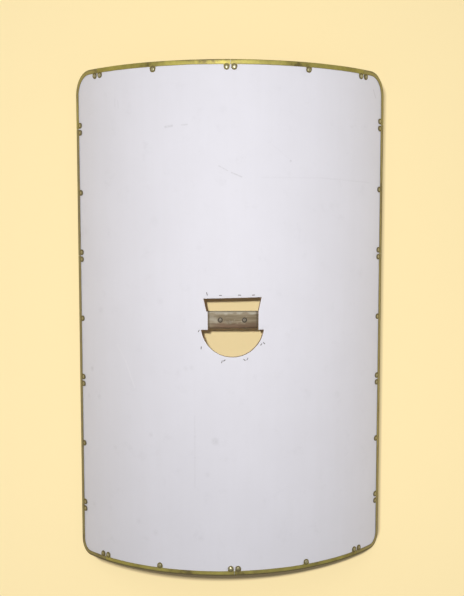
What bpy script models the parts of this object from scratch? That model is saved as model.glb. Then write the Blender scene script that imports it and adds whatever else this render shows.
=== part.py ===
"""Curved shield board with brass edging and a wooden grip.

The shield lies on the floor on its two long edges, face up.
X runs across the shield, Y from its foot to its head, and Z up out of its face.
The origin is on the floor, under the middle of the shield.

Every piece but the back of the grip is laid out flat first, in three "flat" coordinates:
s is the distance round the curve of the front from the middle line, y the height along
the shield, and d the depth below the front (negative is proud of it). bend() then rolls
the flat shape onto the curve, in narrow plane strips, so that neighbours keep their gaps.
"""
import math

import bmesh
import bpy
from mathutils import Vector
from mathutils.geometry import delaunay_2d_cdt

# Driving dimensions, in metres
HEIGHT = 1.040              # head to foot on the middle line, over the edging
ARC_WIDTH = 0.748           # round the curve of the front, over the edging
FOOT_SKEW = 0.0042          # the foot is out of square: this much lower at -X, higher at +X
FRONT_RADIUS = 0.430        # curve of the front of the board
BOARD_THICKNESS = 0.008
TOP_CORNER = 0.049          # radius of the two corners at the head
BOTTOM_CORNER = 0.032       # radius of the two corners at the foot
STRIPS = 29                 # plane strips in the curve; odd, so that the middle one faces up
CORNER_STEPS = 6
GAP = 0.0003                # between pieces that touch in the real shield

# Brass edging: a U channel folded over the rim
SHEET = 0.0010              # thickness of the brass
LEG = 0.0098                # width of the channel's legs on the face and on the back
FOLD_BEVEL = 0.0016         # rounding of the fold, cut as one bevel
JOINT_GAP = 0.0006          # between one section and the next
LEFT_JOINTS = (-0.4152, -0.1375, 0.1323, 0.4005)    # heights of the joints down each side
RIGHT_JOINTS = (-0.4032, -0.1375, 0.1370, 0.4113)
FOOT_JOINTS = (-0.2920, 0.0037, 0.2932)             # and from left to right across each end
HEAD_JOINTS = (-0.3000, -0.0038, 0.2985)

# Rounded tabs on the edging's front leg, and the nails through them
TAB_RADIUS = 0.0052
TAB_STEPS = 4
NAIL_INSET = 0.0148         # nail from the rim
NAIL_FROM_JOINT = 0.0075
END_NAIL_SHIFT = 0.0085     # half-way nails at the head and foot are this much nearer the corners
NAIL_SIDES = 6
NAIL_HEAD_RADIUS = 0.0040
NAIL_CROWN_RADIUS = 0.0025
NAIL_HEAD_HEIGHT = 0.0013
NAIL_SHANK_RADIUS = 0.0010
NAIL_DEPTH = 0.0050         # shank below the front of the board

# Hand opening: a sloping-sided slot above the grip, and a D below it
SLOT_TOP_HALF = 0.0586
SLOT_FOOT_HALF = 0.0525
SLOT_TOP_Y = 0.0514
SLOT_TOP_RISE = 0.0028      # the top edge is sawn a little out of square, higher at +X
WAIST_LEFT = -0.0498        # the left side steps in behind the slot's foot
WAIST_RIGHT = 0.0525
WAIST_TOP_Y = 0.0240
WAIST_BOTTOM_Y = -0.0127
D_RADIUS = 0.0640
D_CENTRE_Y = -0.0042
D_STEPS = 15

# Grip: a bar whose front fits the curve and whose back is flat
GRIP_HALF_LENGTH = 0.088
GRIP_BOTTOM_Y = -0.0112
GRIP_TOP_Y = 0.0233
GRIP_BACK_DEPTH = 0.0320    # flat back, below the highest point of the front
GRIP_ROUND = 0.0060
GRIP_ROUND_STEPS = 3
SCREW_S = 0.0250            # screws, either side of the middle
SCREW_Y = 0.0063
SCREW_HEAD_RADIUS = 0.0047
SCREW_HEAD_DEPTH = 0.0030
SCREW_SHANK_RADIUS = 0.0020
SCREW_LENGTH = 0.0130
SCREW_SIDES = 12

# Worked out from those
SIDES = ((-1, "left", LEFT_JOINTS), (1, "right", RIGHT_JOINTS))
ENDS = ((-1, "foot", FOOT_JOINTS), (1, "head", HEAD_JOINTS))
HALF_ARC = ARC_WIDTH / 2
HALF_HEIGHT = HEIGHT / 2
STRIP_WIDTH = ARC_WIDTH / STRIPS
CHANNEL_FRONT = -(GAP + SHEET)
CHANNEL_BACK = BOARD_THICKNESS + GAP + SHEET
NAIL_HOLE_RADIUS = NAIL_SHANK_RADIUS + GAP / math.cos(math.pi / NAIL_SIDES)
LOWEST_DEPTH = CHANNEL_BACK - FOLD_BEVEL
AXIS_Z = -(FRONT_RADIUS - LOWEST_DEPTH) * math.cos(HALF_ARC / FRONT_RADIUS)
SMOOTH_ANGLE = math.radians(35)
CLOSE = 1e-6                # points nearer than this are one point

COLOURS = {
    "white_facing": ((0.80, 0.79, 0.80, 1.0), 0.55, 0.0),
    "grip_wood": ((0.26, 0.19, 0.12, 1.0), 0.70, 0.0),
    "brass": ((0.52, 0.42, 0.17, 1.0), 0.40, 1.0),
    "steel": ((0.35, 0.34, 0.32, 1.0), 0.45, 1.0),
}


# ---------------------------------------------------------------- the curve

def bend(s, y, d):
    """Roll a flat point onto the curve, along the plane strip that it lies in."""
    strip = math.floor(s / STRIP_WIDTH + 0.5 - 1e-9)
    strip = max(-(STRIPS // 2), min(STRIPS // 2, strip))
    low = (strip - 0.5) * STRIP_WIDTH
    share = (s - low) / STRIP_WIDTH
    radius = FRONT_RADIUS - d
    angles = (low / FRONT_RADIUS, (low + STRIP_WIDTH) / FRONT_RADIUS)
    x = radius * ((1 - share) * math.sin(angles[0]) + share * math.sin(angles[1]))
    z = radius * ((1 - share) * math.cos(angles[0]) + share * math.cos(angles[1]))
    return Vector((x, y, AXIS_Z + z))


def strip_lines():
    """Where the plane strips meet, across the shield."""
    return [(index + 0.5) * STRIP_WIDTH for index in range(-(STRIPS // 2), STRIPS // 2)]


def cut_into_strips(bm):
    """Cut a flat shape along the lines where the plane strips meet."""
    places = [vert.co.x for vert in bm.verts]
    first, last = min(places), max(places)
    for line in strip_lines():
        if first + CLOSE < line < last - CLOSE:
            everything = bm.verts[:] + bm.edges[:] + bm.faces[:]
            bmesh.ops.bisect_plane(bm, geom=everything, dist=2 * CLOSE,
                                   plane_co=(line, 0, 0), plane_no=(1, 0, 0))


# ---------------------------------------------------------------- mesh helpers

def material(name):
    """One Principled material of this name, made when it is first asked for."""
    if name in bpy.data.materials:
        return bpy.data.materials[name]
    colour, roughness, metallic = COLOURS[name]
    made = bpy.data.materials.new(name)
    made.use_nodes = True
    shader = made.node_tree.nodes["Principled BSDF"]
    shader.inputs["Base Color"].default_value = colour
    shader.inputs["Roughness"].default_value = roughness
    shader.inputs["Metallic"].default_value = metallic
    made.diffuse_color = colour
    return made


def new_object(name, bm):
    """Turn a bmesh into an object in the scene."""
    bmesh.ops.recalc_face_normals(bm, faces=bm.faces[:])
    mesh = bpy.data.meshes.new(name)
    bm.to_mesh(mesh)
    bm.free()
    obj = bpy.data.objects.new(name, mesh)
    bpy.context.scene.collection.objects.link(obj)
    return obj


def combine(obj, others, operation):
    """Boolean the other objects, in turn, with the first one, and remove them."""
    for other in others:
        modifier = obj.modifiers.new(operation.title(), "BOOLEAN")
        modifier.operation = operation
        modifier.solver = "EXACT"
        modifier.object = other
    graph = bpy.context.evaluated_depsgraph_get()
    result = bpy.data.meshes.new_from_object(obj.evaluated_get(graph))
    obj.modifiers.clear()
    obj.data = result
    for other in others:
        bpy.data.objects.remove(other)


def finish(obj, slot, place=bend):
    """Put a flat object in its place on the curve and give it its material."""
    bm = bmesh.new()
    bm.from_mesh(obj.data)
    bmesh.ops.remove_doubles(bm, verts=bm.verts[:], dist=CLOSE)
    cut_into_strips(bm)
    for vert in bm.verts:
        vert.co = place(*vert.co)
    bmesh.ops.triangulate(bm, faces=bm.faces[:])
    bmesh.ops.recalc_face_normals(bm, faces=bm.faces[:])
    bm.to_mesh(obj.data)
    bm.free()
    obj.data.name = obj.name
    obj.data.materials.clear()
    obj.data.materials.append(material(slot))
    obj.data.shade_smooth()
    obj.data.set_sharp_from_angle(angle=SMOOTH_ANGLE)


def turned(name, centre, profile, sides, turn=0.0):
    """A closed turned shape: rings of (radius, depth) about an axis through the board."""
    bm = bmesh.new()
    rings = []
    for radius, depth in profile:
        ring = []
        for index in range(sides):
            angle = turn + math.tau * index / sides
            s = centre[0] + radius * math.cos(angle)
            y = centre[1] + radius * math.sin(angle)
            ring.append(bm.verts.new((s, y, depth)))
        rings.append(ring)
    for above, below in zip(rings, rings[1:]):
        for index in range(sides):
            bm.faces.new((above[index - 1], above[index], below[index], below[index - 1]))
    bm.faces.new(rings[0])
    bm.faces.new(rings[-1])
    return new_object(name, bm)


# ---------------------------------------------------------------- the rim

def skewed(s, y):
    """A flat point, moved as the foot is out of square if it is at that end."""
    return Vector((s, y + FOOT_SKEW * s / HALF_ARC * (y < 0)))


def corner_stations(side, up):
    """Rim points and inward directions round one corner, from the long side to the end."""
    radius = TOP_CORNER if up > 0 else BOTTOM_CORNER
    middle = Vector((side * (HALF_ARC - radius), up * (HALF_HEIGHT - radius)))
    stations = []
    for step in range(CORNER_STEPS + 1):
        angle = math.pi / 2 * step / CORNER_STEPS
        outward = Vector((side * math.cos(angle), up * math.sin(angle)))
        stations.append((skewed(*(middle + radius * outward)), -outward))
    return stations


def side_station(side, y):
    return Vector((side * HALF_ARC, y)), Vector((-side, 0))


def end_station(up, s):
    return skewed(s, up * HALF_HEIGHT), Vector((0, -up))


def board_outline():
    """The edge of the board, which sits inside the fold of the edging."""
    inset = SHEET + 2 * GAP
    outline = []
    for side, up, order in ((1, 1, 1), (-1, 1, -1), (-1, -1, 1), (1, -1, -1)):
        stations = corner_stations(side, up)[::order]
        outline += [point + inward * inset for point, inward in stations]
    return [tuple(point) for point in outline]


def edging_sections():
    """Name, stations along the rim and nail stations of each section of the edging."""
    half_gap = JOINT_GAP / 2
    sections = []
    for side, side_name, joints in SIDES:
        for low, high, place in zip(joints, joints[1:], ("lower", "middle", "upper")):
            path = [side_station(side, low + half_gap), side_station(side, high - half_gap)]
            nails = [low + NAIL_FROM_JOINT, (low + high) / 2, high - NAIL_FROM_JOINT]
            sections.append((f"{side_name}_{place}", path, [side_station(side, y) for y in nails]))
    for up, end_name, end_joints in ENDS:
        for side, side_name, side_joints in SIDES:
            middle = side * end_joints[1]
            outer = side * end_joints[1 + side]
            nails = [middle + NAIL_FROM_JOINT, (middle + outer) / 2 + END_NAIL_SHIFT,
                     outer - NAIL_FROM_JOINT]
            cuts = [side * line for line in strip_lines()]
            cuts = [cut for cut in cuts if middle + half_gap + CLOSE < cut < outer - half_gap - CLOSE
                    and all(abs(cut - nail) > TAB_RADIUS for nail in nails)]
            cuts = [middle + half_gap] + sorted(cuts) + [outer - half_gap]
            sections.append((f"{end_name}_{side_name}", [end_station(up, side * s) for s in cuts],
                             [end_station(up, side * s) for s in nails]))
            joint_y = side_joints[-1] if up > 0 else side_joints[0]
            path = [side_station(side, joint_y + up * half_gap)]
            path += corner_stations(side, up)
            path.append(end_station(up, side * (outer + half_gap)))
            nails = [side_station(side, joint_y + up * NAIL_FROM_JOINT),
                     end_station(up, side * (outer + NAIL_FROM_JOINT))]
            sections.append((f"corner_{end_name}_{side_name}", path, nails))
    return sections


def channel_profile():
    """Section of the edging: (distance in from the rim, depth) round a U of sheet.

    The two corners of the fold are points 2 and 3, and points 7 and 8 are inside them.
    """
    inside = SHEET
    return [
        (LEG, CHANNEL_FRONT),
        (FOLD_BEVEL, CHANNEL_FRONT),
        (0.0, CHANNEL_FRONT + FOLD_BEVEL),
        (0.0, CHANNEL_BACK - FOLD_BEVEL),
        (FOLD_BEVEL, CHANNEL_BACK),
        (LEG, CHANNEL_BACK),
        (LEG, CHANNEL_BACK - SHEET),
        (inside, CHANNEL_BACK - SHEET),
        (inside, CHANNEL_FRONT + SHEET),
        (LEG, CHANNEL_FRONT + SHEET),
    ]


def channel(name, path, nails):
    """Sweep the edging's section along a stretch of the rim, with a tab at each nail."""
    bm = bmesh.new()
    profile = channel_profile()
    rings = []
    for point, inward in path:
        ring = []
        for inset, depth in profile:
            s, y = point + inward * inset
            ring.append(bm.verts.new((s, y, depth)))
        rings.append(ring)
    lip, under = 0, len(profile) - 1        # the front leg's edge, above and below
    for start, end, here, after in zip(path, path[1:], rings, rings[1:]):
        tabs = [tab(bm, station, end[0] - start[0]) for station in nails
                if lies_between(station, start, end)]
        above = [vert for root in tabs for vert in root[0]]
        below = [vert for root in tabs for vert in root[1]]
        for index in range(1, under - 1):
            bm.faces.new((here[index], here[index + 1], after[index + 1], after[index]))
        bm.faces.new([here[1], here[lip]] + above + [after[lip], after[1]])
        bm.faces.new([here[under - 1], here[under]] + below + [after[under], after[under - 1]])
        ends = [(here[lip], here[under])]
        for root_above, root_below in tabs:
            ends += [(root_above[0], root_below[0]), (root_above[-1], root_below[-1])]
        ends.append((after[lip], after[under]))
        for left, right in zip(ends[::2], ends[1::2]):
            bm.faces.new((left[0], left[1], right[1], right[0]))
    for ring in (rings[0], rings[-1]):
        for patch in ((0, 1, 8, 9), (1, 2, 8), (2, 3, 7, 8), (3, 4, 7), (4, 5, 6, 7)):
            bm.faces.new([ring[index] for index in patch])
    return new_object(name, bm)


def lies_between(station, start, end):
    """Whether a nail's station is on the straight stretch of rim between two others."""
    run = end[0] - start[0]
    share = (station[0] - start[0]).dot(run) / run.length_squared
    same_way = station[1].dot(start[1]) > 0.999 and station[1].dot(end[1]) > 0.999
    return same_way and 0 < share < 1


def tab(bm, station, run):
    """A rounded tab on the front leg with the nail's hole in it.

    Returns its root vertices on the leg's edge, above and below, in the direction of run.
    """
    point, inward = station
    along = run.normalized()
    centre = point + inward * NAIL_INSET
    root = [point + inward * LEG + along * TAB_RADIUS * share for share in (-1, 0, 1)]
    rounded = []
    for step in range(TAB_STEPS + 1):
        angle = math.pi * step / TAB_STEPS
        rounded.append(centre + TAB_RADIUS * (inward * math.sin(angle) - along * math.cos(angle)))
    hole = pilot_outline(station)
    if Vector(hole[1]).dot(along) > Vector(hole[-1]).dot(along):
        hole = hole[:1] + hole[:0:-1]
    layers = []
    for depth in (CHANNEL_FRONT, CHANNEL_FRONT + SHEET):
        layer = [[bm.verts.new((*point, depth)) for point in loop] for loop in (root, rounded, hole)]
        layers.append(layer)
        roots, outer, inner = layer
        tip, far = TAB_STEPS // 2, NAIL_SIDES // 2
        bm.faces.new([roots[1], roots[0]] + outer[:tip + 1] + inner[far::-1])
        bm.faces.new([roots[1], roots[2]] + outer[:tip - 1:-1] + inner[far:] + [inner[0]])
    (roots_above, outer_above, inner_above), (roots_below, outer_below, inner_below) = layers
    walls = [
        (roots_above[:1] + outer_above + roots_above[2:], roots_below[:1] + outer_below + roots_below[2:]),
        (inner_above + inner_above[:1], inner_below + inner_below[:1]),
    ]
    for above, below in walls:
        for index in range(len(above) - 1):
            bm.faces.new((above[index], above[index + 1], below[index + 1], below[index]))
    return roots_above, roots_below


# ---------------------------------------------------------------- nails

def pilot_outline(station):
    """Outline of the hole for one nail, through its tab and into the board."""
    point, inward = station
    along = Vector((-inward.y, inward.x))
    centre = point + inward * NAIL_INSET
    outline = []
    for step in range(NAIL_SIDES):
        angle = math.tau * step / NAIL_SIDES
        outline.append(tuple(centre - NAIL_HOLE_RADIUS * (inward * math.cos(angle)
                                                          + along * math.sin(angle))))
    return outline


def nail(name, station):
    """A short nail: a low domed head on the tab, and a shank down into the board."""
    under_head = CHANNEL_FRONT - GAP
    profile = [
        (NAIL_CROWN_RADIUS, under_head - NAIL_HEAD_HEIGHT),
        (NAIL_HEAD_RADIUS, under_head),
        (NAIL_SHANK_RADIUS, under_head),
        (NAIL_SHANK_RADIUS, NAIL_DEPTH),
    ]
    point, inward = station
    centre = point + inward * NAIL_INSET
    turn = math.atan2(inward.y, inward.x)
    finish(turned(name, centre, profile, NAIL_SIDES, turn), "brass")


# ---------------------------------------------------------------- board and grip

def opening_outline():
    """The hand opening: slot above, waist across the grip, D below."""
    rise = SLOT_TOP_RISE / 2
    outline = [
        (WAIST_RIGHT, WAIST_BOTTOM_Y),
        (SLOT_FOOT_HALF, WAIST_TOP_Y),
        (SLOT_TOP_HALF, SLOT_TOP_Y + rise),
        (-SLOT_TOP_HALF, SLOT_TOP_Y - rise),
        (-SLOT_FOOT_HALF, WAIST_TOP_Y),
        (WAIST_LEFT, WAIST_TOP_Y),
        (WAIST_LEFT, WAIST_BOTTOM_Y),
    ]
    start = math.asin((WAIST_BOTTOM_Y - D_CENTRE_Y) / D_RADIUS)
    for step in range(D_STEPS + 1):
        angle = math.pi - start + (math.pi + 2 * start) * step / D_STEPS
        outline.append((D_RADIUS * math.cos(angle), D_CENTRE_Y + D_RADIUS * math.sin(angle)))
    return outline


def inside(point, loop):
    """Whether a flat point lies inside a closed loop of points."""
    crossings = 0
    for (s0, y0), (s1, y1) in zip(loop, loop[1:] + loop[:1]):
        if (y0 > point[1]) != (y1 > point[1]):
            crossings += point[0] < s0 + (s1 - s0) * (point[1] - y0) / (y1 - y0)
    return crossings % 2 == 1


def fill_layer(bm, loops, depth):
    """Fill the first loop, less the others, at one depth, cut where the strips meet.

    Returns the vertices by place, and the places at the ends of each edge of the filling.
    """
    points = []
    edges = []
    cuts = [((line, -HEIGHT), (line, HEIGHT)) for line in strip_lines()]
    for loop in loops + cuts:
        first = len(points)
        points += loop
        edges += [(first + i, first + (i + 1) % len(loop)) for i in range(len(loop))]
    filled = delaunay_2d_cdt([Vector(point) for point in points], edges, [], 0, CLOSE)
    places = [(round(point.x, 6), round(point.y, 6)) for point in filled[0]]
    verts = {}
    rim = set()
    for triangle in filled[2]:
        centre = sum((filled[0][index] for index in triangle), Vector((0, 0))) / 3
        if not inside(centre, loops[0]) or any(inside(centre, hole) for hole in loops[1:]):
            continue
        corners = [places[index] for index in triangle]
        for place in corners:
            if place not in verts:
                verts[place] = bm.verts.new((*place, depth))
        bm.faces.new([verts[place] for place in corners])
        for ends in zip(corners, corners[1:] + corners[:1]):
            rim ^= {frozenset(ends)}
    return verts, [tuple(ends) for ends in rim]


def board(nail_stations):
    """The curved board, with its hand opening and a pilot hole for every nail."""
    bm = bmesh.new()
    through = [board_outline(), opening_outline()]
    pilots = [pilot_outline(station) for station in nail_stations]
    front, _ = fill_layer(bm, through + pilots, 0.0)
    back, back_rim = fill_layer(bm, through, BOARD_THICKNESS)
    for here, after in back_rim:
        bm.faces.new((front[here], front[after], back[after], back[here]))
    for pilot in pilots:
        upper = [front[(round(s, 6), round(y, 6))] for s, y in pilot]
        lower = [bm.verts.new((s, y, NAIL_DEPTH + GAP)) for s, y in pilot]
        for index in range(NAIL_SIDES):
            bm.faces.new((upper[index - 1], upper[index], lower[index], lower[index - 1]))
        bm.faces.new(lower)
    finish(new_object("board", bm), "white_facing")


def place_grip(s, y, d):
    """Bend the front of the grip with the board, and keep its back flat."""
    point = bend(s, y, d)
    if d > GRIP_BACK_DEPTH - GRIP_ROUND - GAP:
        point.z = AXIS_Z + FRONT_RADIUS - d
    return point


def grip_section():
    """Section of the grip: (y, depth) round a bar with rounded edges."""
    front = BOARD_THICKNESS + GAP
    corners = (
        (GRIP_TOP_Y - GRIP_ROUND, front + GRIP_ROUND, 0),
        (GRIP_BOTTOM_Y + GRIP_ROUND, front + GRIP_ROUND, 1),
        (GRIP_BOTTOM_Y + GRIP_ROUND, GRIP_BACK_DEPTH - GRIP_ROUND, 2),
        (GRIP_TOP_Y - GRIP_ROUND, GRIP_BACK_DEPTH - GRIP_ROUND, 3),
    )
    section = []
    for y, depth, quarter in corners:
        for step in range(GRIP_ROUND_STEPS + 1):
            angle = math.pi / 2 * (quarter + step / GRIP_ROUND_STEPS)
            section.append((y + GRIP_ROUND * math.cos(angle), depth - GRIP_ROUND * math.sin(angle)))
    return section


def screw_profile(gap):
    """Countersunk screw, or with a gap the hole that it goes in: (radius, depth) rings."""
    front = BOARD_THICKNESS + GAP
    head = SCREW_HEAD_RADIUS + gap
    shank = SCREW_SHANK_RADIUS + gap
    top = front - 4 * gap
    return [
        (head, top),
        (head, front + SCREW_HEAD_DEPTH / 4),
        (shank, front + SCREW_HEAD_DEPTH + gap),
        (shank, front + SCREW_LENGTH + gap),
    ]


def grip():
    """The grip, with a countersunk hole for each screw, and the two screws."""
    bm = bmesh.new()
    rings = []
    for s in (-GRIP_HALF_LENGTH, GRIP_HALF_LENGTH):
        rings.append([bm.verts.new((s, y, depth)) for y, depth in grip_section()])
    for index in range(len(rings[0])):
        nxt = (index + 1) % len(rings[0])
        bm.faces.new((rings[0][index], rings[0][nxt], rings[1][nxt], rings[1][index]))
    for ring in rings:
        bm.faces.new(ring)
    cut_into_strips(bm)
    bar = new_object("grip", bm)
    centres = {"left": (-SCREW_S, SCREW_Y), "right": (SCREW_S, SCREW_Y)}
    holes = [turned("screw_hole", centre, screw_profile(GAP), SCREW_SIDES)
             for centre in centres.values()]
    combine(bar, holes, "DIFFERENCE")
    finish(bar, "grip_wood", place_grip)
    for side_name, centre in centres.items():
        screw = turned(f"grip_screw_{side_name}", centre, screw_profile(0.0), SCREW_SIDES)
        finish(screw, "steel")


def main():
    for obj in list(bpy.data.objects):
        bpy.data.objects.remove(obj)
    sections = edging_sections()
    board([station for _, _, nails in sections for station in nails])
    grip()
    for name, path, nails in sections:
        finish(channel(f"edging_{name}", path, nails), "brass")
        for number, station in enumerate(nails, 1):
            nail(f"nail_{name}_{number}", station)


main()
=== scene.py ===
"""Looks of a curved shield board: white facing, folded brass edging, and a wooden grip.

Every piece is laid out flat first, as it was cut at the bench. In the flat, s is the distance
round the curve of the face from its middle line, y is the height along the shield, and h is
the height above the face. A Geometry Nodes tree then rolls the piece onto the curve.
"""
import math
import random

import bmesh
import bpy
import numpy as np
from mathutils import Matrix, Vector, noise
from mathutils.geometry import delaunay_2d_cdt


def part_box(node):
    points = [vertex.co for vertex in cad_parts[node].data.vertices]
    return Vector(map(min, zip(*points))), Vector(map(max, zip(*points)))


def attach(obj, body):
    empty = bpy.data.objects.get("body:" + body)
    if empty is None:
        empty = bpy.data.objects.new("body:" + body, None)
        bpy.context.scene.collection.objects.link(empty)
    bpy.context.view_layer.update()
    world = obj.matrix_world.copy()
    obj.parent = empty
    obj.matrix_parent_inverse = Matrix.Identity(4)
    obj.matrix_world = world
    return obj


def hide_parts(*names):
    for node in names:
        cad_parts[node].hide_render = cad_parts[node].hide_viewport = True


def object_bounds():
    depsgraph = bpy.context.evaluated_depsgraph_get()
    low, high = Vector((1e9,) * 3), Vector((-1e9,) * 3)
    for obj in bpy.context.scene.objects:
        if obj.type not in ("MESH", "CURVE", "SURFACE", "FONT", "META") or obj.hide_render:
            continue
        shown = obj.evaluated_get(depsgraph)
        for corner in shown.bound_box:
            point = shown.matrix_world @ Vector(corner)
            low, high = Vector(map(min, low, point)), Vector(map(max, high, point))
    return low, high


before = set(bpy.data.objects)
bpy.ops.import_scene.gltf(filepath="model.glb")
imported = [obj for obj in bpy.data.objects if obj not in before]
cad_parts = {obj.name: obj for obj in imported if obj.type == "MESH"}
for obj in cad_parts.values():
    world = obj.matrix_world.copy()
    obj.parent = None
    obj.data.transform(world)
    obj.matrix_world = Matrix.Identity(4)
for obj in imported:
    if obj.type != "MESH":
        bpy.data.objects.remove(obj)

CAD_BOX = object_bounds()
MM = 0.001

# The rim, over the edging
HALF_ARC = 0.374            # half the width, round the curve of the face
HALF_HEIGHT = 0.520
FOOT_SKEW = 0.0042          # how far the foot is out of square at each side
HEAD_CORNER = 0.049         # radius of the upper corners
FOOT_CORNER = 0.032         # radius of the lower corners

# The curve of the face, which the frame follows in narrow plane strips
FACE_RADIUS = 0.430
STRIPS = 29
STRIP_WIDTH = 2 * HALF_ARC / STRIPS
MIDDLE_STRIP_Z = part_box("board")[1].z
AXIS_Z = MIDDLE_STRIP_Z - FACE_RADIUS * math.cos(STRIP_WIDTH / 2 / FACE_RADIUS)
FACE_TOP = Vector((0, 0, AXIS_Z + FACE_RADIUS))

# The board
BOARD = 8 * MM              # its thickness
PLIES = 5.0
SKIN = 0.5 * MM             # depth of the facing, and of the bare wood behind, at the edge
UNEVENNESS = 0.5 * MM       # of a board that was bent by hand
SAW_WANDER = 0.15 * MM      # of the saw round the hand opening
OUTLINE_STEP = 8 * MM       # between points along the board's edge
OPENING_STEP = 2 * MM       # and along the edge of the opening
FRONT_GRID = (6 * MM, 8 * MM)       # between points over the front, across and up
BACK_GRID = (8 * MM, 14 * MM)

# The brass: a sheet folded over the rim, with a rounded tab under every nail
GAP = 0.3 * MM              # between pieces that touch
SHEET = 1.0 * MM            # thickness of the sheet
LEG = 9.8 * MM              # how far in from the rim it reaches
FOLD_ROUND = 2.2 * MM       # outer radius of the two bends
LIP_EASE = 0.25 * MM        # the filed edge of the sheet
JOINT_GAP = 0.6 * MM        # between sections
EDGE_WAVER = 0.9 * MM       # of the hand-cut edge
LIFT = 0.45 * MM            # of the edge off the face, between the nails
RIM_STEP = 6 * MM           # between points along a section
TAB_RADIUS = 5.9 * MM
TAB_FILLET = 1.0 * MM       # radius where a tab grows out of the edge
NAIL_INSET = 14.8 * MM      # from the rim to the middle of a nail

# The hand opening: a slot that widens upwards, a waist behind which the grip passes, and a D
SLOT_TOP_HALF = 58.6 * MM
SLOT_FOOT_HALF = 52.5 * MM
SLOT_TOP_Y = 51.4 * MM
SLOT_TOP_RISE = 2.8 * MM
WAIST_LEFT = -49.8 * MM
WAIST_RIGHT = 52.5 * MM
WAIST_TOP_Y = 24.0 * MM
WAIST_BOTTOM_Y = -12.7 * MM
D_RADIUS = 64.0 * MM
D_CENTRE_Y = -4.2 * MM

# The grip and its screws
GRIP_HALF_LENGTH = 88.0 * MM
GRIP_FRONT_H = -(BOARD + GAP)
GRIP_BACK_H = -32.0 * MM
GRIP_ROUND = 6.0 * MM       # radius of its long edges
GRIP_END_EASE = 4.0 * MM    # radius of its ends
SCREW_S = 25.0 * MM
SCREW_Y = 6.3 * MM
SCREW_HEAD = 4.6 * MM       # radius of the head

# Seeds, so that every run gives the same shield
TONE_SEED = 20
BOARD_SEED = 3.0
EDGING_SEED = 2.0
NAIL_SEED = 11
STAPLE_SEED = 5
SCREW_SEED = 2


# ------------------------------------------------------------------ wiring nodes

class Wire:
    """One output of a node. Sums on wires add the nodes that work them out."""

    def __init__(self, bench, socket):
        self.bench = bench
        self.socket = socket

    def sum(self, operation, *others):
        return self.bench.sum(operation, self, *others)

    def parts(self):
        """The three numbers of a vector."""
        node = self.bench.node("ShaderNodeSeparateXYZ", sockets={0: self}).socket.node
        return [Wire(self.bench, socket) for socket in node.outputs]

    def most(self, other):
        """The larger of two numbers."""
        return self.sum("MAXIMUM", other)

    def step(self, low, high):
        """0 below low, 1 above high, and smooth between them."""
        return self.bench.node(
            "ShaderNodeMapRange", {"interpolation_type": "SMOOTHSTEP"},
            {"Value": self, "From Min": low, "From Max": high, "To Min": 0.0, "To Max": 1.0})

    def __neg__(self):
        return self.sum("MULTIPLY", -1.0)


def add_operator(method, operation):
    """Give wires one operator, and its reflected form."""
    setattr(Wire, f"__{method}__",
            lambda self, other: self.bench.sum(operation, self, other))
    setattr(Wire, f"__r{method}__",
            lambda self, other: self.bench.sum(operation, other, self))


for method, operation in (("add", "ADD"), ("sub", "SUBTRACT"), ("mul", "MULTIPLY"),
                          ("truediv", "DIVIDE"), ("pow", "POWER")):
    add_operator(method, operation)


class Bench:
    """A tree of nodes, for a material or for a shape, while it is wired."""

    def __init__(self, tree):
        self.tree = tree

    def node(self, kind, settings=None, sockets=None, out=0):
        """Add one node: first its settings, then its sockets' values or links."""
        made = self.tree.nodes.new(kind)
        for name, value in (settings or {}).items():
            if name == "stops":
                self.set_stops(made.color_ramp, value)
            else:
                setattr(made, name, value)
        for key, value in (sockets or {}).items():
            socket = self.find(made.inputs, key)
            if isinstance(value, Wire):
                self.tree.links.new(value.socket, socket)
            else:
                socket.default_value = value
        return Wire(self, self.find(made.outputs, out))

    @staticmethod
    def find(sockets, key):
        if isinstance(key, int):
            return sockets[key]
        return next(socket for socket in sockets if socket.name == key and socket.enabled)

    @staticmethod
    def set_stops(ramp, stops):
        while len(ramp.elements) > 1:
            ramp.elements.remove(ramp.elements[-1])
        for index, (place, colour) in enumerate(stops):
            stop = ramp.elements[0] if index == 0 else ramp.elements.new(place)
            stop.position = place
            stop.color = (*colour, 1.0)

    def sum(self, operation, *values):
        """A Math node, or a Vector Math node where a value is a vector."""
        is_vector = [isinstance(value, (tuple, Vector))
                     or isinstance(value, Wire) and value.socket.type == "VECTOR"
                     for value in values]
        if not any(is_vector):
            return self.node("ShaderNodeMath", {"operation": operation},
                             dict(enumerate(values)))
        values = [(value,) * 3 if isinstance(value, (int, float)) else value for value in values]
        out = "Value" if operation in ("LENGTH", "DISTANCE", "DOT_PRODUCT") else 0
        return self.node("ShaderNodeVectorMath", {"operation": operation},
                         dict(enumerate(values)), out)

    def vector(self, x, y, z=0.0):
        return self.node("ShaderNodeCombineXYZ", sockets={0: x, 1: y, 2: z})

    def noise(self, where, scale, detail, roughness=0.5, distortion=0.0):
        """Smooth noise, about 0.5."""
        return self.node("ShaderNodeTexNoise", sockets={
            "Vector": where, "Scale": scale, "Detail": detail,
            "Roughness": roughness, "Distortion": distortion})

    def mix(self, share, first, second, blend="MIX"):
        """Mix two colours."""
        first, second = [(*colour, 1.0) if isinstance(colour, tuple) else colour
                         for colour in (first, second)]
        return self.node("ShaderNodeMix", {"data_type": "RGBA", "blend_type": blend},
                         {"Factor": share, "A": first, "B": second}, "Result")

    def ramp(self, value, stops):
        return self.node("ShaderNodeValToRGB", {"stops": stops}, {0: value})


# ------------------------------------------------------------------ shapes by nodes

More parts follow.
